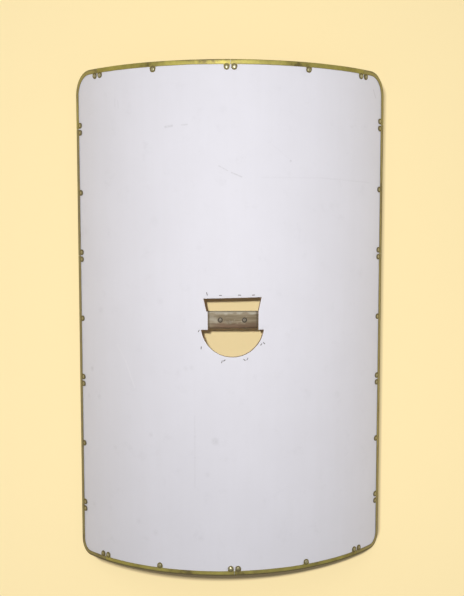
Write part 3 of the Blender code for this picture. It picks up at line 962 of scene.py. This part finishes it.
# Where points are put along the rim on each side of a nail, to draw its tab
TAB_STATIONS = [TAB_RADIUS * sine for _, sine in quarter(8)] + [TAB_RADIUS * 0.998]
TAB_STATIONS += [TAB_RADIUS + TAB_FILLET * share for share in (0.1, 0.3, 0.6, 1.0, 1.5)]
TAB_CLEAR = 7 * MM          # points for anything else keep this far from a nail


def on_path(path, lengths, distance):
    """Point and inward direction this far along a path."""
    for index in range(1, len(path)):
        if distance <= lengths[index] or index == len(path) - 1:
            run = lengths[index] - lengths[index - 1]
            share = (distance - lengths[index - 1]) / run
            (p0, n0), (p1, n1) = path[index - 1], path[index]
            return p0.lerp(p1, share), n0.lerp(n1, share).normalized()


def nearest(path, lengths, place):
    """How far along a path it passes nearest to a place."""
    def away(distance):
        return (on_path(path, lengths, distance)[0] - place).length

    total, rough, fine = lengths[-1], 400, 200
    best = min(range(rough + 1), key=lambda i: away(total * i / rough))
    low, high = [total * min(rough, max(0, i)) / rough for i in (best - 1, best + 1)]
    return min((low + (high - low) * i / fine for i in range(fine + 1)), key=away)


def rim_mesh(name, path, nails, tone, tarnish, painted_fold_shadow):
    """A section's path as a chain of points that know how far in the sheet reaches."""
    lengths = [0.0]
    for before, after in zip(path, path[1:]):
        lengths.append(lengths[-1] + (after[0] - before[0]).length)
    total = lengths[-1]
    marks = [nearest(path, lengths, nail) for nail in nails]
    count = round(total / RIM_STEP)
    stops = {*lengths, *(total * index / count for index in range(count + 1))}
    for mark in marks:
        stops = {stop for stop in stops if abs(stop - mark) > TAB_CLEAR or stop in (0.0, total)}
        stops |= {mark + sign * offset for offset in TAB_STATIONS for sign in (-1, 1)}
    kept = []
    for stop in sorted(stops):
        is_on_path = -1e-9 <= stop <= total + 1e-9
        if is_on_path and (not kept or stop - kept[-1] > 5e-6):
            kept.append(stop)
    places = [on_path(path, lengths, stop) for stop in kept]
    same = {"tone": tone, "tarnish": tarnish, "painted_fold_shadow": painted_fold_shadow}
    return plain_mesh(
        name, [(*point, 0.0) for point, _ in places],
        [(index, index + 1) for index in range(len(kept) - 1)],
        inward=[(*inward, 0.0) for _, inward in places],
        reach=[max([tab_reach(stop - mark) for mark in marks] + [LEG]) for stop in kept],
        along=kept,
        beside=[min([abs(stop - mark) for mark in marks] + [1.0]) for stop in kept],
        **{label: [value] * len(kept) for label, value in same.items()})


def fold_mesh():
    """The section of the folded sheet: x is in from the rim, and y down from the face.

    Each point is x, y and 1 on the lip, which moves in and out with the tabs, or else 0.
    """
    top, bottom = -(GAP + SHEET), BOARD + GAP + SHEET
    flats = (8.5 * MM, 5.5 * MM)
    outer = [(LEG, top + LIP_EASE, 1.0), (LEG - LIP_EASE, top, 1.0),
             *((x, top, 0.0) for x in flats)]
    inner = [(LEG, top + SHEET, 1.0), *((x, top + SHEET, 0.0) for x in flats)]
    bends = quarter(6)
    for row, radius in ((outer, FOLD_ROUND), (inner, FOLD_ROUND - SHEET)):
        row.extend((FOLD_ROUND - radius * sine, top + FOLD_ROUND - radius * cosine, 0.0)
                   for cosine, sine in bends)
        row.extend((FOLD_ROUND - radius * cosine, bottom - FOLD_ROUND + radius * sine, 0.0)
                   for cosine, sine in bends)
    outer += [(flats[1], bottom, 0.0), (LEG - LIP_EASE, bottom, 0.0),
              (LEG, bottom - LIP_EASE, 0.0)]
    inner += [(flats[1], bottom - SHEET, 0.0), (LEG, bottom - SHEET, 0.0)]
    points = outer + inner[::-1]
    edges = [(index, (index + 1) % len(points)) for index in range(len(points))]
    return plain_mesh("fold", [(x, y, 0.0) for x, y, _ in points], edges,
                      lip=[lip for _, _, lip in points], across=[x / LEG for x, _, _ in points])


def edging_recipe(bench, sizes):
    """Sweep the folded sheet along the rim, draw out its tabs, and roll it."""
    path = bench.node("GeometryNodeMeshToCurve", sockets={"Mesh": sizes["Geometry"]})
    path = bench.node("GeometryNodeSetCurveNormal", {"mode": "Z_UP"}, {"Curve": path})
    fold = bench.node("GeometryNodeObjectInfo", sockets={"Object": sizes["Fold"]},
                      out="Geometry")
    fold = bench.node("GeometryNodeMeshToCurve", sockets={"Mesh": fold})
    sheet = bench.node("GeometryNodeCurveToMesh", sockets={
        "Curve": path, "Profile Curve": fold, "Fill Caps": True})

    reach, along, lip, across, tone = [
        attribute(bench, name) for name in ("reach", "along", "lip", "across", "tone")]
    inward = attribute(bench, "inward", "FLOAT_VECTOR")
    seed = sizes["Seed"] + tone * 40.0
    waver = bench.noise(bench.vector(along * 24.0, seed), 1.0, 2.0) - 0.5
    shift = (reach - LEG + waver * sizes["Edge waver"]) * lip
    dents = bench.noise(bench.vector(along * 38.0, across * 0.8, seed), 1.0, 2.0)
    held = 1 - (reach - LEG).step(0.0, 1.0 * MM)
    front = bench.node("GeometryNodeInputPosition").parts()[2].step(-1.0 * MM, 0.2 * MM)
    lift = dents.step(0.35, 0.75) * across * held * front * sizes["Lift"]
    sheet = bench.node("GeometryNodeSetPosition", sockets={
        "Geometry": sheet, "Offset": inward * shift + bench.vector(0.0, 0.0, lift)})
    sheet = bench.node("GeometryNodeStoreNamedAttribute", {"data_type": "FLOAT"}, {
        "Geometry": sheet, "Name": "inset", "Value": across * LEG + shift})
    return rolled(bench, sheet, sizes)


def make_edging(materials):
    """The fourteen sections of edging, each in the place of its solid in the frame."""
    sizes = {**CURVE_SIZES, "Fold": "Object", "Edge waver": "Float", "Lift": "Float",
             "Seed": "Float"}
    tree = recipe("Fold the edging", sizes, edging_recipe)
    fold = add_object("fold", fold_mesh())
    tones = random.Random(TONE_SEED)
    for name, path in rim_sections().items():
        start = rim_mesh(f"{name}_path", path, nails_of(name), tones.random(), *stretch_ageing_and_shade(name))
        piece = make(name.replace("edging_", "brass_"), start, tree, {
            "Material": materials["edging_brass"], "Fold": fold, "Edge waver": EDGE_WAVER,
            "Lift": LIFT, "Seed": EDGING_SEED}, sharp=38)
        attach(piece, "root")
        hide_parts(name)
    bpy.data.objects.remove(fold)


# ------------------------------------------------------------------ small metal pieces

def turned_mesh(name, profile, sides):
    """A turned shape about Z, from (radius, height) rings; radius 0 closes it."""
    bm = bmesh.new()
    rings = []
    for radius, height in profile:
        turns = [math.tau * i / sides for i in range(sides if radius else 1)]
        rings.append([bm.verts.new((radius * math.cos(turn), radius * math.sin(turn), height))
                      for turn in turns])
    for above, below in zip(rings, rings[1:]):
        for i in range(sides):
            j = (i + 1) % sides
            ends = [above[i % len(above)], above[j % len(above)],
                    below[j % len(below)], below[i % len(below)]]
            bm.faces.new(list(dict.fromkeys(ends)))
    mesh = mesh_from(bm, name)
    widest = max(radius for radius, _ in profile)
    rim = mesh.attributes.new("rim", "FLOAT", "POINT")
    rim.data.foreach_set("value", [vert.co.xy.length / widest for vert in mesh.vertices])
    return mesh


def setting_recipe(bench, sizes):
    """Set one small piece at every point, each a little different, and roll them."""
    turn, length = attribute(bench, "turn"), attribute(bench, "length")
    lean, tip, twist, grow = [
        bench.node("FunctionNodeRandomValue", {"data_type": "FLOAT"}, {
            "Min": -1.0, "Max": 1.0, "Seed": sizes["Seed"] + number}, "Value")
        for number in (1.0, 2.0, 3.0, 4.0)]
    tilt = sizes["Tilt"]
    rotation = bench.vector(lean * tilt, tip * tilt, turn + twist * sizes["Turn spread"])
    growth = 1 + grow * sizes["Size spread"]
    piece = bench.node("GeometryNodeObjectInfo", sockets={"Object": sizes["Piece"]},
                       out="Geometry")
    rotation = bench.node("FunctionNodeEulerToRotation", sockets={"Euler": rotation})
    placed = bench.node("GeometryNodeInstanceOnPoints", sockets={
        "Points": sizes["Geometry"], "Instance": piece, "Rotation": rotation,
        "Scale": bench.vector(growth * length, growth, growth)})
    placed = bench.node("GeometryNodeRealizeInstances", sockets={"Geometry": placed})
    return rolled(bench, placed, sizes)


SETTING_SIZES = {**CURVE_SIZES, "Piece": "Object", "Tilt": "Float", "Turn spread": "Float",
                 "Size spread": "Float", "Seed": "Int"}


def set_out(name, places, piece, tree, values, sharp=50):
    """Set a small piece at every place, keep them all as one mesh, and drop the pattern."""
    made = make(name, places, tree, {"Piece": piece, **values}, sharp)
    bpy.data.objects.remove(piece)
    return made


NAIL_HEAD = 3.8 * MM        # radius of the head
NAIL_DOME = 1.05 * MM       # rise of its dome
NAIL_EDGE = 0.12 * MM       # thickness of its edge
NAIL_SHANK = 0.95 * MM      # radius of the shank
NAIL_STANDS = 0.05 * MM     # the head is this far off the brass


def nail_mesh():
    """A nail: domed head with a thin edge, and a stub of its shank."""
    sphere = (NAIL_HEAD ** 2 + NAIL_DOME ** 2) / (2 * NAIL_DOME)
    profile = [(0.0, NAIL_DOME + NAIL_EDGE)]
    for step in range(1, 8):
        out = NAIL_HEAD * step / 7
        profile.append((out, math.sqrt(sphere ** 2 - out ** 2) - sphere + NAIL_DOME + NAIL_EDGE))
    profile += [(NAIL_HEAD + 0.02 * MM, 0.05 * MM), (NAIL_HEAD - 0.1 * MM, -0.02 * MM),
                (NAIL_SHANK, -0.05 * MM), (NAIL_SHANK, -4.5 * MM), (0.0, -5.5 * MM)]
    return turned_mesh("nail", profile, 20)


def make_nails(tree, materials):
    """Every nail of the edging, in one piece."""
    nodes = [node for node in sorted(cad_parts) if node.startswith("nail_")]
    points, tarnish = [], []
    for name in sorted(rim_sections()):
        places = nails_of(name)
        points += [(*place, GAP + SHEET + NAIL_STANDS) for place in places]
        tarnish += [stretch_ageing_and_shade(name)[0]] * len(places)
    start = plain_mesh("nail_places", points, turn=[0.0] * len(points),
                       length=[1.0] * len(points), tarnish=tarnish)
    piece = set_out("brass_nails", start, add_object("nail", nail_mesh()), tree, {
        "Material": materials["nail_brass"], "Tilt": 0.05, "Turn spread": 3.1,
        "Size spread": 0.05, "Seed": NAIL_SEED})
    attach(piece, "root")
    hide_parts(*nodes)


# Staples left round the opening: s, y, turn in degrees, and length in millimetres
STAPLES = (
    (-0.0512, 0.0598, 108, 6.0), (-0.0240, 0.0568, 2, 5.4), (0.0140, 0.0573, -4, 5.4),
    (0.0420, 0.0573, 5, 5.0), (-0.0680, -0.0152, 62, 5.0), (-0.0632, -0.0492, 82, 5.6),
    (-0.0215, -0.0772, 72, 5.0), (-0.0165, -0.0744, 38, 4.6), (0.0240, -0.0734, -42, 4.6),
    (0.0300, -0.0717, 62, 5.0), (0.0580, -0.0427, 52, 4.6), (0.0640, -0.0402, -46, 5.0),
)


STAPLE_WIRE = (0.75 * MM, 0.40 * MM)    # half its width, and half its thickness
STAPLE_LENGTH = 5.0                     # of a usual staple, in millimetres
# The wire's run along the staple, as a share of its length, and above the face in millimetres
STAPLE_BENDS = ((-0.5, -1.2), (-0.5, -0.1), (-0.46, 0.22), (-0.38, 0.34), (-0.15, 0.40),
                (0.15, 0.40), (0.38, 0.34), (0.46, 0.22), (0.5, -0.1), (0.5, -1.2))


def staple_mesh():
    """A staple's crown, one unit long: a bar with rounded shoulders that go into the face."""
    turns = [math.tau * i / 8 for i in range(8)]
    profile = [(STAPLE_WIRE[0] * math.cos(turn), STAPLE_WIRE[1] * math.sin(turn))
               for turn in turns]
    bm = bmesh.new()
    rows = []
    last = len(STAPLE_BENDS) - 1
    for index, (x, h) in enumerate(STAPLE_BENDS):
        before, after = STAPLE_BENDS[max(0, index - 1)], STAPLE_BENDS[min(last, index + 1)]
        run = Vector(((after[0] - before[0]) * STAPLE_LENGTH, after[1] - before[1])).normalized()
        rows.append([bm.verts.new((x - up * run.y / STAPLE_LENGTH / MM, wide,
                                   h * MM + up * run.x)) for wide, up in profile])
    return tube(bm, rows, "staple")


def make_staples(tree, materials):
    """The staples, in one piece. The frame has no solids for them."""
    start = plain_mesh("staple_places", [(s, y, 0.0) for s, y, _, _ in STAPLES],
                       turn=[math.radians(turn) for _, _, turn, _ in STAPLES],
                       length=[length * MM for _, _, _, length in STAPLES])
    piece = set_out("staples", start, add_object("staple", staple_mesh()), tree, {
        "Material": materials["steel"], "Tilt": 0.04, "Turn spread": 0.05,
        "Size spread": 0.06, "Seed": STAPLE_SEED})
    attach(piece, "root")


# ------------------------------------------------------------------ the grip

def grip_ring(low, high, back, front, radius):
    """A rounded rectangle of (y, h) points, with points along its flats too."""
    flat_steps, round_steps = 5, 6
    corners = ((high - radius, front - radius), (low + radius, front - radius),
               (low + radius, back + radius), (high - radius, back + radius))
    arcs = []
    for turns, (y, h) in enumerate(corners):
        angles = [math.pi / 2 * (turns + i / round_steps) for i in range(round_steps + 1)]
        arcs.append([Vector((y + radius * math.cos(angle), h + radius * math.sin(angle)))
                     for angle in angles])
    ring = []
    for arc, after in zip(arcs, arcs[1:] + arcs[:1]):
        ring += arc + [arc[-1].lerp(after[0], i / flat_steps) for i in range(1, flat_steps)]
    return ring


def grip_mesh():
    """The grip laid straight: a bar with rounded edges, softened ends and small dents."""
    low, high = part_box("grip")
    centre = Vector(((low.y + high.y) / 2, (GRIP_FRONT_H + GRIP_BACK_H) / 2))
    ease = GRIP_END_EASE
    near = (0.0, 0.15, 0.45, 0.9, 1.5, 2.2, 3.0, 4.0)
    stations = [-GRIP_HALF_LENGTH + value * MM for value in near]
    inner, count = GRIP_HALF_LENGTH - ease, 56
    stations += [-inner + 2 * inner * i / count for i in range(1, count)]
    stations += [-value for value in stations[len(near) - 1::-1]]
    bm = bmesh.new()
    rows = []
    for s in stations:
        away = min(GRIP_HALF_LENGTH - abs(s), ease)
        inset = ease - math.sqrt(ease ** 2 - (ease - away) ** 2)
        row = []
        for point in grip_ring(low.y + inset, high.y - inset, GRIP_BACK_H + inset,
                               GRIP_FRONT_H - inset, GRIP_ROUND - inset):
            knock = noise.noise(Vector((s * 0.35, *point)) * 170) - 0.12
            dent = max(0.0, knock) * 0.9 * MM
            row.append(bm.verts.new((s, *(point + (centre - point).normalized() * dent * 0.6))))
        rows.append(row)
    return tube(bm, rows, "grip_flat")


def grip_recipe(bench, sizes):
    """Fit the grip's front to the curve of the board, and keep its back flat."""
    s, y, h = bench.node("GeometryNodeInputPosition").parts()
    angle = s / sizes["Radius"]
    reach = h + sizes["Radius"]
    flat = 1 - h.step(sizes["Back"], sizes["Front"])
    level = angle.sum("COSINE") * (1 - flat) + flat
    place = bench.vector(angle.sum("SINE") * reach, y, level * reach + sizes["Axis height"])
    return bench.node("GeometryNodeSetPosition",
                      sockets={"Geometry": sizes["Geometry"], "Position": place})


# (radius, height) rings of a screw's hole, and of a screw, from the top down
COUNTERSINK = ((0.0, 2 * MM), (5.3 * MM, 2 * MM), (5.2 * MM, 0.0), (4.9 * MM, -0.5 * MM),
               (2.3 * MM, -3.4 * MM), (2.3 * MM, -13.0 * MM), (0.0, -13.2 * MM))
SCREW = ((0.0, 0.35 * MM), (1.6 * MM, 0.30 * MM), (3.0 * MM, 0.18 * MM), (4.0 * MM, 0.0),
         (SCREW_HEAD - 0.1 * MM, -0.12 * MM), (SCREW_HEAD, -0.25 * MM),
         (SCREW_HEAD, -0.6 * MM), (2.0 * MM, -3.2 * MM), (2.0 * MM, -12.0 * MM),
         (0.0, -12.5 * MM))
CROSS = (2.7 * MM, 0.55 * MM, 1.9 * MM)     # half its length, half its width, and its depth
CROSS_FACES = ((0, 1, 2, 3), (7, 6, 5, 4), (0, 4, 5, 1), (1, 5, 6, 2), (2, 6, 7, 3),
               (3, 7, 4, 0))


def make_grip(materials):
    """The grip, with a countersunk hole for each screw."""
    tree = recipe("Fit the grip", {**CURVE_SIZES, "Back": "Float", "Front": "Float"},
                  grip_recipe)
    cutters = []
    for side in (-1, 1):
        sink = turned_mesh("countersink", COUNTERSINK, 32)
        for vert in sink.vertices:
            vert.co += Vector((side * SCREW_S, SCREW_Y, GRIP_FRONT_H))
        cutters.append(add_object("countersink", sink))
    grip = make("grip_bar", grip_mesh(), tree, {
        "Material": materials["grip_wood"], "Back": GRIP_BACK_H + GRIP_ROUND,
        "Front": GRIP_FRONT_H - GRIP_ROUND}, sharp=50, cutters=cutters)
    for cutter in cutters:
        bpy.data.objects.remove(cutter)
    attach(grip, "root")
    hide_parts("grip")


def screw_object():
    """A countersunk screw with a cross in its low dome, which starts at height 0."""
    screw = add_object("screw", turned_mesh("screw", SCREW, 32))
    long, wide, depth = CROSS
    top = [(-long, -wide), (long, -wide), (long, wide), (-long, wide)]
    arm = [(x, y, 1 * MM) for x, y in top] + [(x * 0.45, y * 0.7, -depth) for x, y in top]
    cutters = []
    for points in (arm, [(-y, x, z) for x, y, z in arm]):
        mesh = plain_mesh("cross", points, (), CROSS_FACES)
        close_up(mesh)
        cutters.append(add_object("cross", mesh))
    cut_out(screw, cutters)
    keep_result(screw)
    for cutter in cutters:
        bpy.data.objects.remove(cutter)
    return screw


def make_screws(tree, materials):
    """Both screws, in one piece."""
    places = [(side * SCREW_S, SCREW_Y, GRIP_FRONT_H + 0.1 * MM) for side in (-1, 1)]
    start = plain_mesh("screw_places", places, turn=[0.5, -0.2], length=[1.0, 1.0])
    piece = set_out("grip_screws", start, screw_object(), tree, {
        "Material": materials["steel"], "Tilt": 0.03, "Turn spread": 0.1,
        "Size spread": 0.0, "Seed": SCREW_SEED}, sharp=35)
    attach(piece, "root")
    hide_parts("grip_screw_left", "grip_screw_right")


# ------------------------------------------------------------------ floor, light and camera

# A painted shadow of the shield on the floor: the floor's glow is cut where the shield keeps the
# key light off. It runs on past the foot and the head by a share of the shield's height there,
# and it lies a little to the right of the shield and a little towards the foot.
SHADE_PAST_FOOT = 0.46
SHADE_PAST_HEAD = 0.14
SHADE_FOOT_SHIFT = 5 * MM
SHADE_HEAD_SHIFT = 6 * MM
SHADE_SIDE_SHIFT = 6 * MM
SHADE_CORNER = 40 * MM      # how round its corners are
SHADE_BLUR = 4 * MM         # how soft its edge is

PAPER = ((0.545, 0.436, 0.236), (0.555, 0.444, 0.240))
# Paler paper under the shield: painted light, so that the floor lit through the opening shows
# bright.
PAPER_PAINTED_LIGHT_BELOW = (0.98, 0.815, 0.455)
GLOW = ((0.530, 0.445, 0.254), (0.423, 0.359, 0.207))
GLOW_IN_SHADE = (0.048, 0.042, 0.028)
FLOOR_HALF = 30.0


def past_shade(bench, x, y):
    """How far a place on the floor is outside the painted shadow, and less than 0 in it."""
    low, high = CAD_BOX
    height = (FACE_RADIUS ** 2 - x * x).most(0.0).sum("SQRT") + AXIS_Z
    height = height.most(0.0)
    skew = x * (FOOT_SKEW / high[0])
    foot = -y - HALF_HEIGHT + skew - height * SHADE_PAST_FOOT - SHADE_FOOT_SHIFT
    head = y - HALF_HEIGHT - height * SHADE_PAST_HEAD + SHADE_HEAD_SHIFT
    side = (x - high[0] - SHADE_SIDE_SHIFT).most(-x + low[0] + SHADE_SIDE_SHIFT)
    end = (foot.most(head) + SHADE_CORNER).most(0.0)
    side = (side + SHADE_CORNER).most(0.0)
    return bench.vector(side, end).sum("LENGTH") - SHADE_CORNER


def floor_material(bench):
    """Pale paper that glows a little, with a painted shadow where the glow is cut round the
    shield, and paler paper painted under it.
    """
    place = object_place(bench)
    x, y, _ = place.parts()
    colour = bench.mix(bench.noise(place, 1.5, 2.0), *PAPER)
    # Painted light: the paper is paler under the shield.
    below = (1 - x.sum("ABSOLUTE").step(0.24, 0.32)) * (1 - y.sum("ABSOLUTE").step(0.36, 0.50))
    colour = bench.mix(below, colour, PAPER_PAINTED_LIGHT_BELOW)
    glow = bench.mix(y.step(-0.75, 0.35), *GLOW)
    # Painted shadow: the glow is cut where the shield keeps the key light off.
    in_light = past_shade(bench, x, y).step(-SHADE_BLUR, SHADE_BLUR)
    glow = bench.mix(in_light, GLOW_IN_SHADE, glow)
    return {"Base Color": colour, "Roughness": 0.9, "Specular IOR Level": 0.1,
            "Emission Color": glow, "Emission Strength": 1.0}


def make_floor():
    """A plain floor, which runs a long way out on every side."""
    half = FLOOR_HALF
    mesh = plain_mesh("floor", [(-half, -half, 0), (half, -half, 0), (half, half, 0),
                                (-half, half, 0)], (), [(0, 1, 2, 3)])
    mesh.materials.append(material("floor", floor_material))
    add_object("floor", mesh)


def aim(obj, target, roll=0.0):
    """Point an object's -Z at a target, with +Y of the shield up."""
    back = (obj.location - target).normalized()
    right = Vector((0, 1, 0)).cross(back).normalized()
    up = back.cross(right)
    turned_right = right * math.cos(roll) + up * math.sin(roll)
    turned_up = up * math.cos(roll) - right * math.sin(roll)
    matrix = obj.matrix_world.to_3x3()
    matrix.col[0], matrix.col[1], matrix.col[2] = turned_right, turned_up, back
    obj.rotation_euler = matrix.to_euler()


EYE = FACE_TOP + Vector((-0.0447, 0.1836, 1.6633))
EYE_TARGET = FACE_TOP + Vector((-0.0010, 0.0516, 0.0))
EYE_ROLL = -0.0004
LENS = 50.467               # focal length and sensor width, in millimetres
SENSOR = 36.0


def make_camera():
    """The camera, which looks down on the face from a little towards the head."""
    data = bpy.data.cameras.new("camera")
    data.lens = LENS
    data.sensor_width = SENSOR
    data.dof.use_dof = False
    camera = add_object("camera", data)
    camera.location = EYE
    aim(camera, EYE_TARGET, EYE_ROLL)
    bpy.context.scene.camera = camera


# Lights: name, place, target, size in metres, power in watts, colour
LIGHTS = [
    ("key", EYE + Vector((-0.075, 0.098, 0.05)), FACE_TOP, 0.05, 25.2, (1.0, 0.985, 0.96)),
    ("soft_head", FACE_TOP + Vector((-0.2, 1.3, 2.0)), FACE_TOP + Vector((0, 0.3, 0)),
     1.2, 9.4, (0.96, 0.97, 1.0)),
]
LIGHTS += [("soft_side", Vector((side * 2.8, 0.16, 0.83)), Vector((0, 0.16, 0.1)),
            2.67, power, (0.97, 0.98, 1.0)) for side, power in ((-1, 17.2), (1, 28.5))]
SKY = (0.96, 0.95, 0.93, 1.0)
SKY_STRENGTH = 0.16


def make_lights():
    """The lamps and the even light of the room. The side lamps don't mirror in the brass."""
    for name, place, target, size, power, colour in LIGHTS:
        data = bpy.data.lights.new(name, "AREA")
        data.shape = "DISK"
        data.size = size
        data.energy = power
        data.color = colour
        light = add_object(name, data)
        light.location = place
        light.visible_glossy = name != "soft_side"
        aim(light, target)
    world = bpy.data.worlds.new("world")
    bpy.context.scene.world = world
    world.use_nodes = True
    background = world.node_tree.nodes["Background"]
    background.inputs["Color"].default_value = SKY
    background.inputs["Strength"].default_value = SKY_STRENGTH
    bpy.context.scene.view_settings.view_transform = "Standard"


def main():
    materials = make_materials()
    make_board(materials)
    make_edging(materials)
    tree = recipe("Set small pieces", SETTING_SIZES, setting_recipe)
    make_nails(tree, materials)
    make_staples(tree, materials)
    make_grip(materials)
    make_screws(tree, materials)
    make_floor()
    make_camera()
    make_lights()


main()
